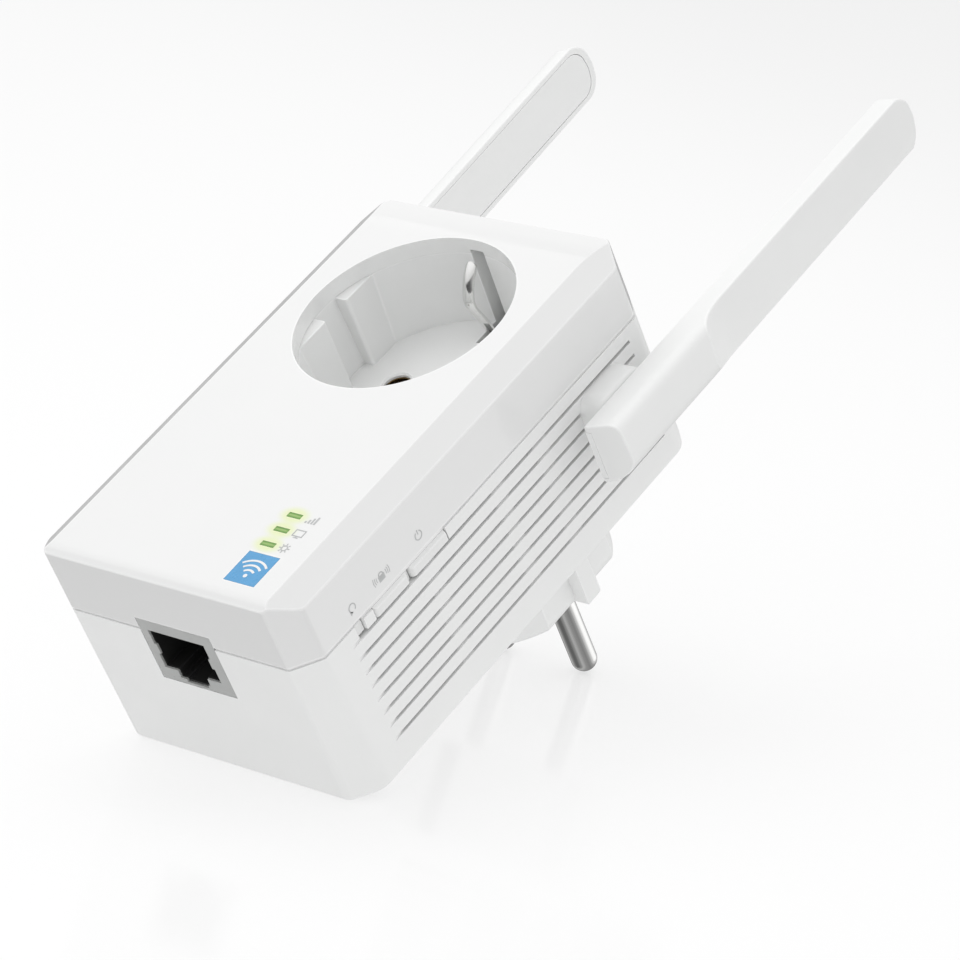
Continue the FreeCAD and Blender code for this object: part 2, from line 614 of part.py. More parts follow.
def make_arm_shell():
    arm = arm_section().extrude(V(0, 0, ARM_TIP + 5 - ARM_BOTTOM))
    arm = arm.cut(scoop_tool())
    tip_x0 = 33.0
    shift = ARM_TAPER * (BLADE_X - tip_x0)
    rise = TIP_SLANT * (BLADE_X - tip_x0)
    tip = tip_outline(14.8 + shift, 27.15 + shift, ARM_BOTTOM - 9, ARM_TIP + rise, 4.2, 4.8, tip_x0, 46,
                      ARM_TAPER, TIP_SLANT)
    arm = arm.common(tip)
    arm = soften_arm(arm)
    seat = tip_outline(SEAT_D[0], SEAT_D[1], ARM_BOTTOM - 1, SEAT_TOP, 3.2, 3.8, 33, SEAT_FLOOR_X)
    cuts = [seat,
            block(35, 40.6, 17.7, 23.6, -0.7, 22.6),
            block(35, 38.4, 17.7, 26.2, -0.7, 22.6),
            block(35, 38.3, 17.7, 25.8, 22.0, 88.5)]
    return carve(arm, cuts)


def make_arm_cover():
    gap = 0.1
    plate = tip_outline(SEAT_D[0] + gap, SEAT_D[1] - gap, ARM_BOTTOM, SEAT_TOP - gap, 3.1, 3.7, COVER_PLATE_X,
                        SEAT_FLOOR_X - 0.05)
    return plate.cut(axle(HUB_R + 0.02, 33, 37, PIVOT_D, PIVOT_Z))


def make_hub():
    barrel = axle(HUB_R, 25.0, 36.0, PIVOT_D, PIVOT_Z)
    flange = axle(5.0, 35.84, 37.2, PIVOT_D, PIVOT_Z)
    flange = flange.common(block(35, 38, 17.9, 26.0, 0, 20))
    collar = axle(4.6, PEDESTAL_X + 0.05, COVER_PLATE_X - 0.05, PIVOT_D, PIVOT_Z)
    hub = join([barrel, flange, collar])
    groove = axle(4.0, 25.9, 26.6, PIVOT_D, PIVOT_Z).cut(axle(2.9, 25.8, 26.7, PIVOT_D, PIVOT_Z))
    return carve(hub, [groove, axle(HUB_BORE_R, 24, 38, PIVOT_D, PIVOT_Z)])


def make_hub_clip():
    ring = axle(5.0, 25.92, 26.58, PIVOT_D, PIVOT_Z)
    gap = block(25, 27.5, PIVOT_D - 1.3, PIVOT_D + 1.3, PIVOT_Z, PIVOT_Z + 8)
    return carve(ring, [axle(2.92, 25, 27.5, PIVOT_D, PIVOT_Z), gap])


def make_radiator():
    return block(36.3, 37.1, 19.4, 24.4, 27.0, 86.0)


def make_arm_lead():
    points = [(27.0, PIVOT_D, PIVOT_Z), (38.2, PIVOT_D, PIVOT_Z), (39.0, PIVOT_D - 0.2, PIVOT_Z + 1.2),
              (38.9, PIVOT_D - 0.4, 16.0), (37.2, PIVOT_D - 0.7, 22.0), (36.8, PIVOT_D - 0.9, 26.9)]
    return bent_lead(points, 0.6)


def make_coax():
    points = [(26.7, PIVOT_D, PIVOT_Z), (25.0, PIVOT_D, PIVOT_Z), (23.2, PIVOT_D + 1.5, PIVOT_Z - 1.5),
              (23.6, PIVOT_D + 3.5, -4.0), (22.0, PIVOT_D + 1.0, -18.0), (16.5, 18.5, -26.5),
              (15.5, 13.0, -27.5)]
    return lead(points, 0.6)


def make_key(z0, z1, outer_x, d0, d1, lap_low=KEY_LAP, lap_high=KEY_LAP):
    """A key cap: visible bar with a bevelled front edge, and a flange that holds it inside."""
    bar = block(25.5, outer_x, d0, d1, z0, z1)
    bevel = prism_z([(outer_x + 1, d0 - 1), (outer_x - 0.4, d0 - 0.01), (outer_x + 0.01, d0 + 0.6)],
                    z0 - 1, z1 + 1)
    bar = bar.cut(bevel)
    flange = block(24.7, 26.4, d0 - 0.9, d1 + 0.8, z0 - lap_low, z1 + lap_high)
    return join([bar, flange])


def round_key_end(bar, z_end, inward):
    """Rounds the outer edge of one end of a long key, seen from the front."""
    z_mid = z_end + inward * KEY_ROUND
    x_mid = KEY_FACE - KEY_ROUND
    box = block(x_mid, KEY_FACE + 1, 10, 20, min(z_end, z_mid), max(z_end, z_mid))
    return bar.cut(box.cut(post(KEY_ROUND, 9, 21, x_mid, z_mid)))


def make_plunger(z):
    return axle(PLUNGER_R, 22.0, 24.65, PLUNGER_D, z)


def make_tact_switches(centres):
    shapes = []
    for z in centres:
        can = block(19.6, 23.4, MAIN_BOARD_D[1] + 0.02, 16.4, z - 2.4, z + 2.4)
        shapes.append(can.cut(axle(PLUNGER_R + 0.06, 21.2, 24.0, PLUNGER_D, z)))
    return Part.makeCompound(shapes)


def make_main_board():
    board = body_slab(2.5, MAIN_BOARD_D[0], MAIN_BOARD_D[1])
    board = board.common(block(-25.6, 25.6, 9, 12, -70, -24.2))
    cuts = [post(3.2, 8, 12, x, z) for x, z in SCREW_POSTS]
    cuts += [post(1.1, 8, 12, x, z) for x, z in BOARD_POSTS]
    return carve(board, cuts)


def make_power_board():
    board = block(-25.0, 25.0, POWER_BOARD_D[0], POWER_BOARD_D[1], -66.0, -22.0)
    cuts = [post(3.7, 37, 41, x, z) for x, z in SCREW_POSTS]
    cuts += [post(1.1, 37, 41, x, z) for x, z in POWER_POSTS]
    return carve(board, cuts)


def make_transformer_core():
    sides = [block(-10.5, 10.5, 22.0, 24.4, -50.0, -34.0),
             block(-10.5, 10.5, 35.5, POWER_BOARD_D[0] - 0.05, -50.0, -34.0),
             block(-10.5, -8.2, 22.0, 37.0, -50.0, -34.0),
             block(8.2, 10.5, 22.0, 37.0, -50.0, -34.0),
             post(3.0, 22.0, 37.0, 0, -42.0)]
    return join(sides)


def make_transformer_coil():
    ring = post(7.6, 24.6, 35.3, 0, -42.0)
    return ring.cut(post(3.1, 24, 36, 0, -42.0))


def make_case_screws():
    shapes = []
    for x, z in SCREW_POSTS:
        screw = join([post(2.4, 31.12, 32.8, x, z), post(1.25, 18.0, 31.5, x, z)])
        cross = [block(x - 1.4, x + 1.4, 32.0, 33.0, z - 0.3, z + 0.3),
                 block(x - 0.3, x + 0.3, 32.0, 33.0, z - 1.4, z + 1.4)]
        shapes.append(carve(screw, cross))
    return Part.makeCompound(shapes)


def make_board_screws():
    shapes = []
    for x, z in BOARD_POSTS:
        top = MAIN_BOARD_D[1] + 0.02
        screw = join([post(2.0, top, top + 1.4, x, z), post(0.9, top - 5.0, top + 0.5, x, z)])
        shapes.append(carve(screw, [block(x - 1.2, x + 1.2, top + 0.8, top + 2, z - 0.25, z + 0.25)]))
    for x, z in POWER_POSTS:
        top = POWER_BOARD_D[0] - 0.02
        screw = join([post(2.0, top - 1.4, top, x, z), post(0.9, top - 0.5, top + 4.0, x, z)])
        shapes.append(carve(screw, [block(x - 1.2, x + 1.2, top - 2, top - 0.8, z - 0.25, z + 0.25)]))
    return Part.makeCompound(shapes)


def group(shapes):
    return Part.makeCompound(shapes)


key_centres = [(RESET_Z[0] + RESET_Z[1]) / 2, (PAIR_Z[0] + PAIR_Z[1]) / 2, (POWER_Z[0] + POWER_Z[1]) / 2]
nodes = {}
nodes["front_cover"] = make_front_cover()
nodes["rear_housing"] = make_rear_housing()
nodes["socket_insert"] = make_socket_insert()
nodes["earth_bracket"] = make_earth_bracket()
nodes["contact_right"] = make_contact()
nodes["contact_left"] = mirrored(make_contact())
nodes["bus_bar_right"] = block(8.3, 10.7, 33.05, 40.15, -0.5, 0.5)
nodes["bus_bar_left"] = block(-10.7, -8.3, 33.05, 40.15, -0.5, 0.5)
earth_strap = block(-CLIP_HALF, CLIP_HALF, 21.05, 39.5, -0.45, 0.45)
earth_foot = block(-CLIP_HALF, CLIP_HALF, 38.7, 39.55, -4.0, 4.0)
nodes["earth_link"] = join([earth_strap, earth_foot])
nodes["plug_base"] = make_plug_base()
nodes["plug_pin_right"] = make_plug_pin(PIN_SPACING_HALF)
nodes["plug_pin_left"] = make_plug_pin(-PIN_SPACING_HALF)
nodes["plug_earth_upper"] = make_plug_earth(1)
nodes["plug_earth_lower"] = make_plug_earth(-1)
supply_route = [(9.5, 36.4, -1.45), (6.6, 35.2, -8.0), (6.0, 34.6, -18.0), (6.8, 35.0, -24.0),
                (7.2, 37.4, -26.0)]
supply = lead(supply_route, 0.8)
nodes["supply_leads"] = group([supply, mirrored(supply)])
nodes["main_board"] = make_main_board()
nodes["power_board"] = make_power_board()
nodes["board_screws"] = make_board_screws()
nodes["case_screws"] = make_case_screws()
nodes["transformer_core"] = make_transformer_core()
nodes["transformer_coil"] = make_transformer_coil()
nodes["capacitors"] = group([post(4.8, 24.0, 37.95, -17.6, -37.0), post(4.8, 24.0, 37.95, -17.6, -49.0)])
nodes["film_capacitor"] = block(12.5, 22.0, 27.0, 37.95, -53.0, -46.0)
nodes["fuse"] = post(3.2, 30.0, 37.95, 17.5, -38.5)
nodes["dc_leads"] = group([post(0.7, 10.95, 37.95, -12.5, -27.5), post(0.7, 10.95, 37.95, -9.5, -27.5)])
nodes["shield_can"] = block(-17.0, 7.0, 6.6, 9.28, -50.0, -30.0)
nodes["board_chips"] = group([block(-16.0, -8.0, 10.92, 12.2, -48.0, -40.0),
                              block(-2.0, 6.0, 10.92, 12.0, -50.0, -45.0),
                              block(1.0, 8.0, 10.92, 12.0, -38.0, -32.0)])
nodes["coax_sockets"] = group([block(13.7, 17.3, 10.92, 12.9, -29.3, -25.7),
                               block(-17.3, -13.7, 10.92, 12.9, -29.3, -25.7)])
nodes["led_chips"] = group([block(LED_X - 0.8, LED_X + 0.8, 8.6, 9.28, z - 0.4, z + 0.4) for z in LED_Z])
nodes["light_pipes"] = group([block(LED_X - 1.45, LED_X + 1.45, 0.0, 8.55, z - 0.5, z + 0.5) for z in LED_Z])
nodes["label_plate"] = block(13.35, 20.0, 0.0, 0.18, -65.45, -58.55)
nodes["jack_shield"] = make_jack_shield()
nodes["jack_insert"] = make_jack_insert()
nodes["jack_contacts"] = make_jack_contacts()
nodes["tact_switches"] = make_tact_switches(key_centres)
nodes["reset_key"] = make_key(RESET_Z[0], RESET_Z[1], 28.3, 13.5, 16.0)
pair = make_key(PAIR_Z[0], PAIR_Z[1], KEY_FACE, KEY_D[0], KEY_D[1], lap_high=KEY_LAP_SHORT)
nodes["pair_key"] = round_key_end(round_key_end(pair, PAIR_Z[1], -1), PAIR_Z[0], 1)
power = make_key(POWER_Z[0], POWER_Z[1], KEY_FACE, KEY_D[0], KEY_D[1], lap_low=KEY_LAP_SHORT)
nodes["power_key"] = round_key_end(power, POWER_Z[0], 1)
for name, z in zip(("reset_plunger", "pair_plunger", "power_plunger"), key_centres):
    nodes[name] = make_plunger(z)

arm = {"antenna_shell": make_arm_shell(), "antenna_cover": make_arm_cover(), "antenna_hub": make_hub(),
       "hub_clip": make_hub_clip(), "radiator": make_radiator(), "arm_lead": make_arm_lead()}
pivot = V(0, at(PIVOT_D), PIVOT_Z)
for name, shape in arm.items():
    nodes[name + "_right"] = shape
    other = shape.copy()
    other.rotate(V(0, at(PIVOT_D), 0), V(0, 0, 1), 180)
    other.rotate(pivot, V(1, 0, 0), LEFT_LEAN)
    nodes[name + "_left"] = other
nodes["coax_right"] = make_coax()
nodes["coax_left"] = mirrored(make_coax())

for name, shape in nodes.items():
    solids = shape.Solids
    volume = sum(s.Volume for s in solids)
    note = ""
    if not shape.isValid():
        note = " NOT VALID"
    if volume <= 0 or not solids:
        note += " NO VOLUME"
    print(f"{name}: {len(solids)} solid(s), {volume:.1f} mm3{note}")
    if len(solids) == 1:
        solids[0].exportStep("parts/" + name + ".step")
    else:
        Part.makeCompound(solids).exportStep("parts/" + name + ".step")
print(len(nodes), "nodes")
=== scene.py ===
import json
import math

import bmesh
import bpy
from mathutils import Matrix, Vector


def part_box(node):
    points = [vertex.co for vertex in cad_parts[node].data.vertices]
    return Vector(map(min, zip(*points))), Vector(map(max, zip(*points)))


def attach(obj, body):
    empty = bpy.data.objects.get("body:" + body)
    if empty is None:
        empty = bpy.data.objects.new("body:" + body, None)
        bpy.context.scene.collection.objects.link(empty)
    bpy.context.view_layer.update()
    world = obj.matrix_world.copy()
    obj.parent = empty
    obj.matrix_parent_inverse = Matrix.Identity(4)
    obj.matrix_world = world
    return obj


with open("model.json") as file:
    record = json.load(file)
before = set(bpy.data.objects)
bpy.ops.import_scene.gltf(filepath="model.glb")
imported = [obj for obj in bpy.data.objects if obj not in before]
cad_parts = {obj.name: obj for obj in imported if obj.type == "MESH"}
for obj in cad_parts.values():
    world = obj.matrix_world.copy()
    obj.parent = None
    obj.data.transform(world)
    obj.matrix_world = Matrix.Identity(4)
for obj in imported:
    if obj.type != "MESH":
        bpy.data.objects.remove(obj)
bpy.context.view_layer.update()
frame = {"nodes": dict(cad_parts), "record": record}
nodes = frame["nodes"]

MM = 0.001
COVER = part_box("front_cover")
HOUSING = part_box("rear_housing")
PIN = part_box("plug_pin_right")
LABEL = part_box("label_plate")
FRONT_Y = COVER[0][1]
SIDE_X = COVER[1][0]
WELL_EDGE = 20.03 * MM      # the cover takes the well's white inside this radius
LAMP_X = 15.5               # the lamps' places on the front, in mm
LAMP_Z = (-49.25, -52.75, -56.3)
LAMPS = [(LAMP_X * MM, FRONT_Y, z * MM) for z in LAMP_Z]

# Painted edge highlights, painted crevice shade and grain of the plastics
EDGE_WIDTH = 0.5 * MM
CREVICE_REACH = 0.9 * MM
GRAIN_DEPTH = 0.02 * MM
SHARPEST_EDGE = 0.12 * MM

# Printed marks, in mm
PRINT_THICKNESS = 0.02
PRINT_LIFT = 0.012
KEY_MARK_DEPTH = 10.3       # from the front face back to the marks beside the keys

# Camera and stage: the object stands on the back edge of its lower end and on its pins.
FLOOR_NORMAL = Vector((0.0, -0.877, 0.480)).normalized()
FLOOR_GAP = 0.3 * MM
FLOOR_TOUCH = Vector((0.0, HOUSING[1][1], HOUSING[0][2]))
CAMERA_PLACE = Vector((436.612, -426.63, -351.751)) * MM
CAMERA_RIGHT = Vector((0.7548, 0.3108, 0.5777))
CAMERA_AHEAD = Vector((-0.6311, 0.5842, 0.5103))
CAMERA_LENS = 148.5

# Light: each list holds (cosine or distance, brightness) pairs
SKY = [(-1.0, 0.72), (0.0, 0.76), (0.5, 0.93), (1.0, 0.97)]
TABLE_GLOW = 0.6            # the stage is a light table, so shadows on it stay pale
POOL = [(0.0, 1.0), (0.1, 0.95), (0.22, 0.7), (0.4, 0.5)]
POOL_REACH = 0.4
POOL_SHARE = 0.6
PIN_TIP = Vector(((PIN[0][0] + PIN[1][0]) / 2, PIN[1][1], 0.0))
BAND_AXIS = (0.5, 0.0, 0.866)
BANDS = [(-1.0, 0.08), (-0.78, 0.14), (-0.68, 0.28), (-0.5, 0.48), (-0.12, 0.31), (0.16, 0.26), (0.41, 0.36),
         (0.63, 0.7), (0.76, 1.2), (0.81, 1.35)]
CARD_AXIS = (-0.35, -0.88, 0.31)
CARD = [(-1.0, 0.0), (0.18, 0.0), (0.3, 0.8), (0.75, 1.1), (0.87, 0.45), (1.0, 0.45)]
KEY_FROM = FLOOR_NORMAL - CAMERA_RIGHT * 0.45 + CAMERA_AHEAD * 0.2

# Colours that more than one material uses
FRONT_WHITE = (0.83, 0.832, 0.83)
WELL_WHITE = (0.87, 0.875, 0.87)
BODY_WHITE = (0.90, 0.905, 0.90)
LAMP_GREEN = (0.74, 0.84, 0.26)


# ---------------------------------------------------------------- materials
def new_material(name):
    material = bpy.data.materials.new(name)
    material.use_nodes = True
    tree = material.node_tree
    tree.nodes.clear()
    out = tree.nodes.new("ShaderNodeOutputMaterial")
    shader = tree.nodes.new("ShaderNodeBsdfPrincipled")
    tree.links.new(shader.outputs["BSDF"], out.inputs["Surface"])
    return material, tree, shader


def node_of(tree, kind):
    """The one node of a kind that a material was started with."""
    return [node for node in tree.nodes if node.type == kind][0]


def noise(tree, scale, detail=3.0, roughness=0.5, stretch=None):
    coords = tree.nodes.new("ShaderNodeTexCoord")
    texture = tree.nodes.new("ShaderNodeTexNoise")
    texture.inputs["Scale"].default_value = scale
    texture.inputs["Detail"].default_value = detail
    texture.inputs["Roughness"].default_value = roughness
    if stretch is None:
        tree.links.new(coords.outputs["Object"], texture.inputs["Vector"])
    else:
        mapping = tree.nodes.new("ShaderNodeMapping")
        mapping.inputs["Scale"].default_value = stretch
        tree.links.new(coords.outputs["Object"], mapping.inputs["Vector"])
        tree.links.new(mapping.outputs["Vector"], texture.inputs["Vector"])
    return texture.outputs["Fac"]


def spread(tree, value, low, high):
    """Maps a texture's usual range onto low..high."""
    node = tree.nodes.new("ShaderNodeMapRange")
    node.inputs["From Min"].default_value = 0.3
    node.inputs["From Max"].default_value = 0.7
    node.inputs["To Min"].default_value = low
    node.inputs["To Max"].default_value = high
    tree.links.new(value, node.inputs["Value"])
    return node.outputs["Result"]


def two_tone(tree, value, first, second):
    mix = tree.nodes.new("ShaderNodeMix")
    mix.data_type = "RGBA"
    mix.inputs["A"].default_value = (*first, 1.0)
    mix.inputs["B"].default_value = (*second, 1.0)
    tree.links.new(value, mix.inputs["Factor"])
    return mix.outputs["Result"]


def add_bump(tree, shader, value, strength, distance, soft_edge=0.0):
    """Surface relief, over corners that look rounded by soft_edge metres."""
    bump = tree.nodes.new("ShaderNodeBump")
    if soft_edge > 0:
        bevel = tree.nodes.new("ShaderNodeBevel")
        bevel.samples = 4
        bevel.inputs["Radius"].default_value = soft_edge
        tree.links.new(bevel.outputs["Normal"], bump.inputs["Normal"])
    bump.inputs["Strength"].default_value = strength
    bump.inputs["Distance"].default_value = distance
    tree.links.new(value, bump.inputs["Height"])
    tree.links.new(bump.outputs["Normal"], shader.inputs["Normal"])


def math_node(tree, operation, first, second):
    node = tree.nodes.new("ShaderNodeMath")
    node.operation = operation
    for socket, value in zip(node.inputs, (first, second)):
        if isinstance(value, float):
            socket.default_value = value
        else:
            tree.links.new(value, socket)
    return node.outputs["Value"]


def fall_off(tree, value, near, far):
    """1 up to near, 0 from far on."""
    node = tree.nodes.new("ShaderNodeMapRange")
    node.interpolation_type = "SMOOTHERSTEP"
    node.inputs["From Min"].default_value = near
    node.inputs["From Max"].default_value = far
    node.inputs["To Min"].default_value = 1.0
    node.inputs["To Max"].default_value = 0.0
    tree.links.new(value, node.inputs["Value"])
    return node.outputs["Result"]


def distance_from(tree, centre, scale):
    """Distance of the shaded point from a point of the object, along the axes whose scale isn't 0."""
    coords = tree.nodes.new("ShaderNodeTexCoord")
    away = tree.nodes.new("ShaderNodeVectorMath")
    away.operation = "SUBTRACT"
    away.inputs[1].default_value = centre
    tree.links.new(coords.outputs["Object"], away.inputs[0])
    flat = tree.nodes.new("ShaderNodeVectorMath")
    flat.operation = "MULTIPLY"
    flat.inputs[1].default_value = scale
    tree.links.new(away.outputs["Vector"], flat.inputs[0])
    length = tree.nodes.new("ShaderNodeVectorMath")
    length.operation = "LENGTH"
    tree.links.new(flat.outputs["Vector"], length.inputs[0])
    return length.outputs["Value"]


def recolor(tree, shader, mask, color):
    """Mixes a colour over the base colour where the mask is 1."""
    old = shader.inputs["Base Color"].links[0].from_socket
    mix = tree.nodes.new("ShaderNodeMix")
    mix.data_type = "RGBA"
    mix.inputs["B"].default_value = (*color, 1.0)
    tree.links.new(mask, mix.inputs["Factor"])
    tree.links.new(old, mix.inputs["A"])
    tree.links.new(mix.outputs["Result"], shader.inputs["Base Color"])


def front_plastic():
    """Glossy white of the front cover: the well's white inside the well's collar, and a painted green glow
    round the lamps.
    """
    material = plastic("gloss_white", FRONT_WHITE, 0.22, 2200.0, 0.04, coat=0.5, shade=0.006, soft_edge=0.0)
    tree = material.node_tree
    shader = node_of(tree, "BSDF_PRINCIPLED")
    from_axis = distance_from(tree, (0.0, 0.0, 0.0), (1.0, 0.0, 1.0))
    recolor(tree, shader, fall_off(tree, from_axis, WELL_EDGE, WELL_EDGE + 0.1 * MM), WELL_WHITE)
    # painted glow: green is mixed into the cover's colour round each lamp, standing in for the lamps' light
    # on it
    for place in LAMPS:
        from_lamp = distance_from(tree, place, (0.8, 1.0, 1.25))
        painted_lamp_glow = math_node(tree, "MULTIPLY", fall_off(tree, from_lamp, 0.9 * MM, 3.3 * MM), 0.6)
        recolor(tree, shader, painted_lamp_glow, LAMP_GREEN)
    return material


def edge_mask(tree):
    """1 along the corners of a shape, 0 on its flat faces: where the plastics' highlight is painted."""
    bevel = tree.nodes.new("ShaderNodeBevel")
    bevel.samples = 4
    bevel.inputs["Radius"].default_value = EDGE_WIDTH
    geometry = tree.nodes.new("ShaderNodeNewGeometry")
    dot = tree.nodes.new("ShaderNodeVectorMath")
    dot.operation = "DOT_PRODUCT"
    tree.links.new(bevel.outputs["Normal"], dot.inputs[0])
    tree.links.new(geometry.outputs["Normal"], dot.inputs[1])
    return fall_off(tree, dot.outputs["Value"], 0.97, 0.997)


def crevice_mask(tree):
    """1 deep in seams and slots, 0 on open faces: where the plastics' shade is painted."""
    occlusion = tree.nodes.new("ShaderNodeAmbientOcclusion")
    occlusion.samples = 4
    occlusion.inputs["Distance"].default_value = CREVICE_REACH
    return fall_off(tree, occlusion.outputs["AO"], 0.3, 0.9)


def plastic(name, color, rough, grain, relief, coat=0.0, shade=0.02, soft_edge=SHARPEST_EDGE):
    """Moulded plastic: faint cloudy tone, uneven gloss, fine grain, a painted highlight along its edges and
    painted shade in its crevices.
    """
    material, tree, shader = new_material(name)
    cloud = spread(tree, noise(tree, 45.0), 0.0, 1.0)
    darker = tuple(max(0.0, c - shade) for c in color)
    tree.links.new(two_tone(tree, cloud, darker, color), shader.inputs["Base Color"])
    # painted highlight: the colour is paler along corners, standing in for light caught by rounded edges, in
    # patches
    highlight_patches = spread(tree, noise(tree, 300.0), 0.7, 0.95)
    painted_edge_highlight = math_node(tree, "MULTIPLY", edge_mask(tree), highlight_patches)
    recolor(tree, shader, painted_edge_highlight, tuple(min(0.99, c * 1.25 + 0.01) for c in color))
    # painted shade: the colour is darkened deep in seams, slots and gaps, where shade falls, in patches
    shade_patches = spread(tree, noise(tree, 500.0), 0.2, 0.4)
    painted_crevice_shade = math_node(tree, "MULTIPLY", crevice_mask(tree), shade_patches)
    recolor(tree, shader, painted_crevice_shade, tuple(c * 0.6 for c in color))
    gloss = spread(tree, noise(tree, 160.0, 4.0), rough * 0.85, rough * 1.2)
    tree.links.new(gloss, shader.inputs["Roughness"])
    add_bump(tree, shader, noise(tree, grain, 2.0), relief, GRAIN_DEPTH, soft_edge)
    if coat > 0:
        shader.inputs["Coat Weight"].default_value = coat
        shader.inputs["Coat Roughness"].default_value = 0.06
    shader.inputs["IOR"].default_value = 1.5
    return material


def metal(name, color, rough, stretch, relief=0.15, shade=0.08, metallic=1.0):
    """Bare or plated metal with fine drawn lines along one direction."""
    material, tree, shader = new_material(name)
    lines = noise(tree, 900.0, 3.0, 0.6, stretch)
    cloud = spread(tree, noise(tree, 120.0), 0.0, 1.0)
    darker = tuple(max(0.0, c - shade) for c in color)
    tree.links.new(two_tone(tree, cloud, darker, color), shader.inputs["Base Color"])
    tree.links.new(spread(tree, lines, rough * 0.7, rough * 1.4), shader.inputs["Roughness"])
    add_bump(tree, shader, lines, relief, 0.01 * MM, 0.1 * MM)
    shader.inputs["Metallic"].default_value = metallic
    return material


def glowing_lens(name, color, glow, strength):
    """Green lens that glows faintly, with a painted glow: paler colour along the middle of each lamp."""
    material, tree, shader = new_material(name)
    cloud = spread(tree, noise(tree, 700.0), 0.0, 1.0)
    tree.links.new(two_tone(tree, cloud, color, tuple(c * 1.25 for c in color)), shader.inputs["Base Color"])
    # painted glow: the glow colour is mixed into the base colour along the middle of each lamp
    for place in LAMPS:
        from_middle = distance_from(tree, place, (0.12, 0.0, 1.0))
        painted_glow_streak = fall_off(tree, from_middle, 0.1 * MM, 0.3 * MM)
        recolor(tree, shader, painted_glow_streak, glow)
    tree.links.new(two_tone(tree, cloud, color, glow), shader.inputs["Emission Color"])
    shader.inputs["Emission Strength"].default_value = strength
    shader.inputs["Roughness"].default_value = 0.2
    return material


def board(name):
    """Solder-masked board: green mask over a fine pattern of copper areas."""
    material, tree, shader = new_material(name)
    coords = tree.nodes.new("ShaderNodeTexCoord")
    cells = tree.nodes.new("ShaderNodeTexVoronoi")
    cells.distance = "CHEBYCHEV"
    cells.inputs["Scale"].default_value = 260.0
    tree.links.new(coords.outputs["Object"], cells.inputs["Vector"])
    pattern = spread(tree, cells.outputs["Distance"], 0.0, 1.0)
    mask = two_tone(tree, pattern, (0.02, 0.14, 0.06), (0.04, 0.22, 0.10))
    tree.links.new(mask, shader.inputs["Base Color"])
    tree.links.new(spread(tree, noise(tree, 300.0), 0.25, 0.45), shader.inputs["Roughness"])
    add_bump(tree, shader, cells.outputs["Distance"], 0.3, 0.03 * MM)
    return material


def ink(name, color, rough):
    """Printed ink or film, thin and even, with a little mottle."""
    material, tree, shader = new_material(name)
    cloud = spread(tree, noise(tree, 500.0, 4.0), 0.0, 1.0)
    darker = tuple(c * 0.9 for c in color)
    tree.links.new(two_tone(tree, cloud, darker, color), shader.inputs["Base Color"])
    tree.links.new(spread(tree, noise(tree, 900.0), rough * 0.8, rough * 1.2), shader.inputs["Roughness"])
    return material


looks = {
    "shell_plastic": front_plastic(),
    "housing_plastic": plastic("satin_white", BODY_WHITE, 0.46, 5200.0, 0.22, shade=0.012),
    "well_plastic": plastic("well_white", WELL_WHITE, 0.38, 4200.0, 0.12, shade=0.012, soft_edge=0.0),
    "plug_plastic": plastic("plug_white", BODY_WHITE, 0.42, 4200.0, 0.15, shade=0.012),
    "key_plastic": plastic("key_white", (0.86, 0.865, 0.86), 0.40, 4800.0, 0.15, shade=0.012),
    "nickel": metal("nickel_plate", (0.80, 0.80, 0.79), 0.09, (1.0, 0.08, 1.0), 0.05, 0.03),
    "steel_sheet": metal("tinned_steel", (0.72, 0.73, 0.72), 0.38, (0.1, 1.0, 1.0), metallic=0.4),
    "brass_part": metal("pressed_brass", (0.36, 0.25, 0.12), 0.28, (1.0, 0.1, 1.0)),
    "gold_wire": metal("gold_flash", (0.80, 0.58, 0.22), 0.2, (1.0, 1.0, 0.1)),
    "black_plastic": plastic("moulded_black", (0.018, 0.018, 0.018), 0.42, 3800.0, 0.2, shade=0.008),
    "board_green": board("solder_mask"),
    "core_ferrite": plastic("ferrite", (0.05, 0.05, 0.052), 0.6, 1600.0, 0.5, shade=0.02),
    "coil_tape": plastic("yellow_tape", (0.72, 0.52, 0.06), 0.3, 900.0, 0.3, shade=0.1),
    "led_lens": glowing_lens("green_lens", (0.11, 0.25, 0.04), (0.28, 0.45, 0.12), 0.07),
    "label_blue": ink("blue_film", (0.085, 0.36, 0.68), 0.3),
    "lead_white": plastic("white_insulation", (0.78, 0.78, 0.76), 0.5, 2500.0, 0.3, shade=0.03),
    "lead_dark": plastic("dark_insulation", (0.03, 0.03, 0.03), 0.45, 2500.0, 0.3, shade=0.01),
    "cap_sleeve": plastic("blue_sleeve", (0.03, 0.05, 0.16), 0.3, 1200.0, 0.2, shade=0.01),
}
PRINT_GREY = ink("grey_ink", (0.52, 0.53, 0.53), 0.4)
PRINT_WHITE = ink("white_ink", (0.9, 0.9, 0.9), 0.4)

for entry in frame["record"]["subparts"]:
    target = nodes[entry["node"]]
    look = looks[entry["material_slot"]]
    if not target.material_slots:
        target.data.materials.append(look)
    for material_slot in target.material_slots:
        material_slot.material = look


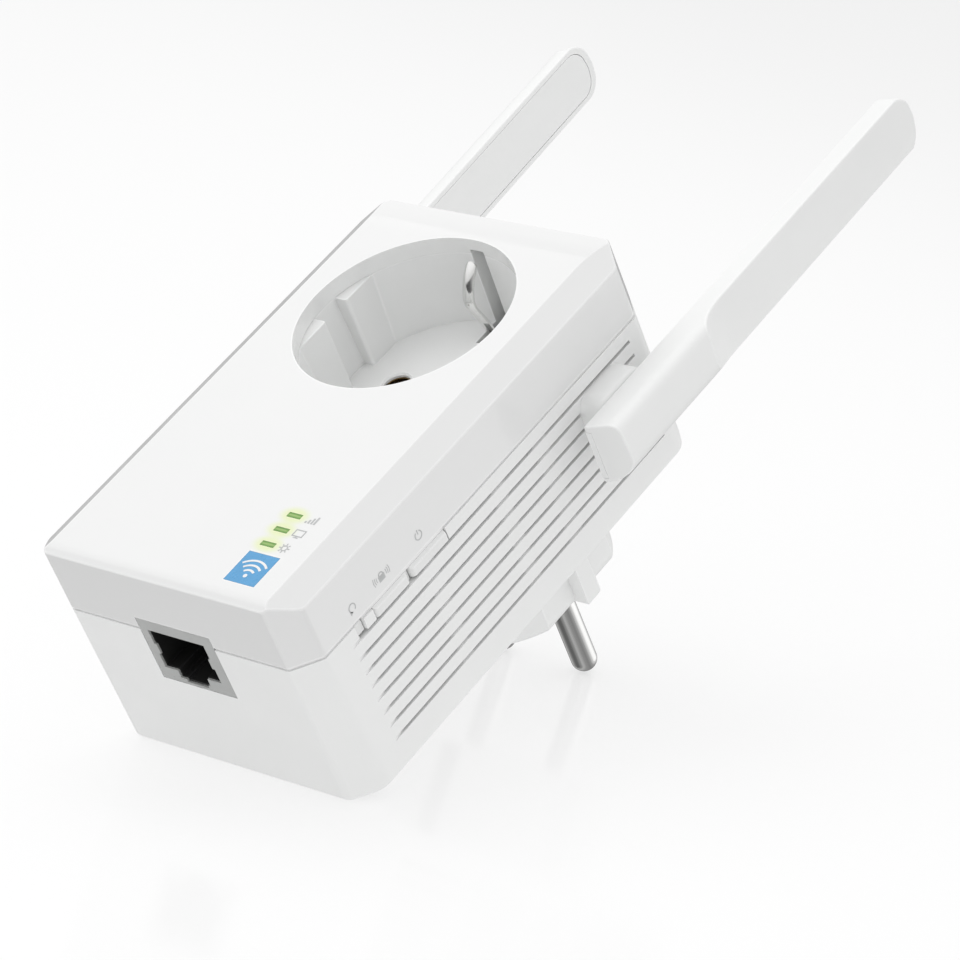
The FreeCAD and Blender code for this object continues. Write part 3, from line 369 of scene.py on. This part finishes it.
# ---------------------------------------------------------------- printed marks
def outline_mesh(name, loops, place, across, up, material):
    """Thin raised print: flat loops of points (u, v) in mm, laid on a face and given a thickness."""
    mesh = bpy.data.meshes.new(name)
    work = bmesh.new()
    out = across.cross(up).normalized()
    for loop in loops:
        low = [work.verts.new(place + across * (u * MM) + up * (v * MM)) for u, v in loop]
        high = [work.verts.new(p.co + out * (PRINT_THICKNESS * MM)) for p in low]
        work.faces.new(high)
        work.faces.new(low[::-1])
        count = len(loop)
        for index in range(count):
            after = (index + 1) % count
            work.faces.new((low[index], low[after], high[after], high[index]))
    bmesh.ops.recalc_face_normals(work, faces=work.faces)
    work.to_mesh(mesh)
    work.free()
    mesh.materials.append(material)
    piece = bpy.data.objects.new(name, mesh)
    bpy.context.scene.collection.objects.link(piece)
    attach(piece, "body")
    return piece


def on_circle(radius, angle, cu, cv):
    return (cu + radius * math.cos(angle), cv + radius * math.sin(angle))


def arc_band(radius, width, start, end, steps=14, cu=0.0, cv=0.0):
    """A curved band as one loop: angles in degrees, counter-clockwise from +u."""
    angles = [math.radians(start + (end - start) * step / steps) for step in range(steps + 1)]
    outer = [on_circle(radius + width / 2, angle, cu, cv) for angle in angles]
    inner = [on_circle(radius - width / 2, angle, cu, cv) for angle in angles]
    return outer + inner[::-1]


def bar(u0, u1, v0, v1):
    return [(u0, v0), (u1, v0), (u1, v1), (u0, v1)]


def disc(radius, cu=0.0, cv=0.0, steps=20):
    return [on_circle(radius, math.tau * step / steps, cu, cv) for step in range(steps)]


def front_mark(name, x, z, loops, material=PRINT_GREY):
    place = Vector((x * MM, FRONT_Y - PRINT_LIFT * MM, z * MM))
    return outline_mesh(name, loops, place, Vector((1, 0, 0)), Vector((0, 0, 1)), material)


def side_mark(name, z, loops):
    """Marks beside the keys are turned a quarter: u runs up the body, v to its front."""
    place = Vector((SIDE_X + PRINT_LIFT * MM, FRONT_Y + KEY_MARK_DEPTH * MM, z * MM))
    return outline_mesh(name, loops, place, Vector((0, 0, 1)), Vector((0, -1, 0)), PRINT_GREY)


signal_loops = [bar(-1.1 + 0.62 * i, -0.75 + 0.62 * i, -0.9, -0.5 + 0.45 * i) for i in range(4)]
front_mark("mark_signal", 19.4, LAMP_Z[0], signal_loops)
screen_loops = [bar(-1.1, 1.1, 0.75, 0.95), bar(-1.1, 1.1, -0.65, -0.45), bar(-1.1, -0.9, -0.45, 0.75),
                bar(0.9, 1.1, -0.45, 0.75), bar(-0.5, 0.5, -1.0, -0.82), bar(-0.1, 0.1, -0.82, -0.65)]
front_mark("mark_screen", 19.25, LAMP_Z[1], screen_loops)
gear_loops = [arc_band(0.55, 0.22, 0, 180), arc_band(0.55, 0.22, 180, 360)]
for tooth in range(8):
    angle = math.tau * tooth / 8
    c, s = math.cos(angle), math.sin(angle)
    gear_loops.append([(0.72 * c - 0.11 * s, 0.72 * s + 0.11 * c), (0.72 * c + 0.11 * s, 0.72 * s - 0.11 * c),
                       (1.1 * c + 0.09 * s, 1.1 * s - 0.09 * c), (1.1 * c - 0.09 * s, 1.1 * s + 0.09 * c)])
front_mark("mark_gear", 19.05, LAMP_Z[2], gear_loops)

label_u = (LABEL[0][0] + LABEL[1][0]) / 2 / MM
label_v = (LABEL[0][2] + LABEL[1][2]) / 2 / MM
wave_loops = [arc_band(r, 0.42, 45, 135, cv=-1.9) for r in (1.5, 2.6, 3.7)] + [disc(0.4, cv=-1.7)]
front_mark("mark_waves", label_u, label_v, wave_loops, PRINT_WHITE)

reset_loops = [arc_band(0.75, 0.2, -50, 130), arc_band(0.75, 0.2, 130, 250),
               [(-0.75, -0.35), (-0.05, -0.75), (-0.75, -1.15)]]
side_mark("mark_reset", -56.2, reset_loops)
lock_loops = [bar(-0.75, 0.75, -0.85, 0.25), arc_band(0.5, 0.2, 0, 180, cv=0.25)]
for reach in (1.25, 1.65, 2.05):
    lock_loops.append(arc_band(reach, 0.12, -22, 22, 8))
    lock_loops.append(arc_band(reach, 0.12, 158, 202, 8))
side_mark("mark_lock", -48.4, lock_loops)
power_loops = [arc_band(0.8, 0.2, 120, 270), arc_band(0.8, 0.2, 270, 420), bar(-0.1, 0.1, 0.15, 1.05)]
side_mark("mark_power", -38.3, power_loops)


# ---------------------------------------------------------------- stage, light and camera
def table_light(tree, brightness):
    """Light that the stage gives off: white, or as bright as a socket says."""
    light = tree.nodes.new("ShaderNodeEmission")
    light.inputs["Color"].default_value = (1.0, 1.0, 1.0, 1.0)
    if brightness is not None:
        tree.links.new(brightness, light.inputs["Color"])
    return light.outputs["Emission"]


def lit_mix(tree, first, second, share):
    """The second shader in place of the first, by a share from 0 to 1."""
    mix = tree.nodes.new("ShaderNodeMixShader")
    if isinstance(share, float):
        mix.inputs["Fac"].default_value = share
    else:
        tree.links.new(share, mix.inputs["Fac"])
    tree.links.new(first, mix.inputs[1])
    tree.links.new(second, mix.inputs[2])
    return mix.outputs["Shader"]


def ramp_of(tree, value, reach, marks):
    """A grey level along a value from 0 to reach: marks are (value, grey) pairs."""
    ramp = tree.nodes.new("ShaderNodeValToRGB")
    ramp.color_ramp.interpolation = "EASE"
    while len(ramp.color_ramp.elements) < len(marks):
        ramp.color_ramp.elements.new(0.5)
    for element, (place, grey) in zip(ramp.color_ramp.elements, marks):
        element.position = place / reach
        element.color = (grey, grey, grey, 1.0)
    scaled = math_node(tree, "DIVIDE", value, reach)
    tree.links.new(scaled, ramp.inputs["Fac"])
    return ramp.outputs["Color"]


def make_floor():
    """A pale light table: shiny parts of the object don't mirror it, and it can't be seen from below."""
    centre = FLOOR_TOUCH - FLOOR_NORMAL * FLOOR_GAP
    bpy.ops.mesh.primitive_plane_add(size=6.0)
    floor = bpy.context.active_object
    floor.name = "floor"
    floor.rotation_mode = "QUATERNION"
    floor.rotation_quaternion = FLOOR_NORMAL.to_track_quat("Z", "Y")
    floor.location = centre
    material, tree, shader = new_material("pale_floor")
    mottle = spread(tree, noise(tree, 300.0), 0.0, 1.0)
    pale = two_tone(tree, mottle, (0.955, 0.955, 0.955), (0.96, 0.96, 0.96))
    tree.links.new(pale, shader.inputs["Base Color"])
    shader.inputs["Roughness"].default_value = 0.12
    path = tree.nodes.new("ShaderNodeLightPath")
    pool_middle = (floor.rotation_quaternion.inverted() @ (PIN_TIP - centre)) * 0.5
    pool = ramp_of(tree, distance_from(tree, pool_middle, (1.0, 1.0, 0.0)), POOL_REACH, POOL)
    seen = lit_mix(tree, shader.outputs["BSDF"], table_light(tree, None), TABLE_GLOW)
    bounced = lit_mix(tree, shader.outputs["BSDF"], table_light(tree, pool), POOL_SHARE)
    clear = tree.nodes.new("ShaderNodeBsdfTransparent").outputs["BSDF"]
    mirrored = lit_mix(tree, bounced, clear, path.outputs["Is Glossy Ray"])
    table = lit_mix(tree, mirrored, seen, path.outputs["Is Camera Ray"])
    geometry = tree.nodes.new("ShaderNodeNewGeometry")
    both = lit_mix(tree, table, clear, geometry.outputs["Backfacing"])
    tree.links.new(both, node_of(tree, "OUTPUT_MATERIAL").inputs["Surface"])
    floor.data.materials.append(material)


def softbox(name, direction, distance, size, energy):
    """A large square light that looks at the middle of the object."""
    target = Vector((0.0, -0.035, -0.01))
    data = bpy.data.lights.new(name, "AREA")
    data.size = size
    data.energy = energy
    light = bpy.data.objects.new(name, data)
    bpy.context.scene.collection.objects.link(light)
    place = target + direction.normalized() * distance
    turn = (target - place).to_track_quat("-Z", "Y").to_matrix().to_4x4()
    light.matrix_world = Matrix.Translation(place) @ turn


def along(tree, direction, marks):
    """Brightness of the surroundings by the angle to a direction: marks are (cosine, value) pairs."""
    coords = tree.nodes.new("ShaderNodeTexCoord")
    dot = tree.nodes.new("ShaderNodeVectorMath")
    dot.operation = "DOT_PRODUCT"
    dot.inputs[1].default_value = direction
    tree.links.new(coords.outputs["Generated"], dot.inputs[0])
    shifted = math_node(tree, "MULTIPLY_ADD", dot.outputs["Value"], 0.5)
    shifted.node.inputs[2].default_value = 0.5
    return ramp_of(tree, shifted, 1.0, [(cosine * 0.5 + 0.5, value) for cosine, value in marks])


def backdrop(tree, brightness):
    """Light of the surroundings: the same grey everywhere, or what a socket says."""
    node = tree.nodes.new("ShaderNodeBackground")
    if isinstance(brightness, float):
        node.inputs["Color"].default_value = (brightness, brightness, brightness, 1.0)
    else:
        tree.links.new(brightness, node.inputs["Color"])
    return node.outputs["Background"]


def make_world():
    """White for the camera, a soft overhead glow for matt surfaces, and a banded studio for shiny ones."""
    world = bpy.data.worlds.new("studio")
    bpy.context.scene.world = world
    world.use_nodes = True
    tree = world.node_tree
    tree.nodes.clear()
    out = tree.nodes.new("ShaderNodeOutputWorld")
    brighter = tree.nodes.new("ShaderNodeVectorMath")
    brighter.operation = "MAXIMUM"
    tree.links.new(along(tree, BAND_AXIS, BANDS), brighter.inputs[0])
    tree.links.new(along(tree, CARD_AXIS, CARD), brighter.inputs[1])
    soft = backdrop(tree, along(tree, FLOOR_NORMAL, SKY))
    studio = backdrop(tree, brighter.outputs["Vector"])
    path = tree.nodes.new("ShaderNodeLightPath")
    lit = lit_mix(tree, soft, studio, path.outputs["Is Glossy Ray"])
    seen = lit_mix(tree, lit, backdrop(tree, 1.0), path.outputs["Is Camera Ray"])
    tree.links.new(seen, out.inputs["Surface"])


def make_camera():
    data = bpy.data.cameras.new("camera")
    data.sensor_width = 36.0
    data.lens = CAMERA_LENS
    data.clip_start = 0.01
    camera = bpy.data.objects.new("camera", data)
    bpy.context.scene.collection.objects.link(camera)
    back = -CAMERA_AHEAD.normalized()
    right = (CAMERA_RIGHT - back * CAMERA_RIGHT.dot(back)).normalized()
    up = back.cross(right)
    turn = Matrix((right, up, back)).transposed().to_4x4()
    camera.matrix_world = Matrix.Translation(CAMERA_PLACE) @ turn
    bpy.context.scene.camera = camera


make_floor()
make_world()
softbox("key", KEY_FROM, distance=0.9, size=0.8, energy=1.8)
make_camera()
bpy.context.scene.view_settings.view_transform = "Standard"
bpy.context.scene.view_settings.look = "None"
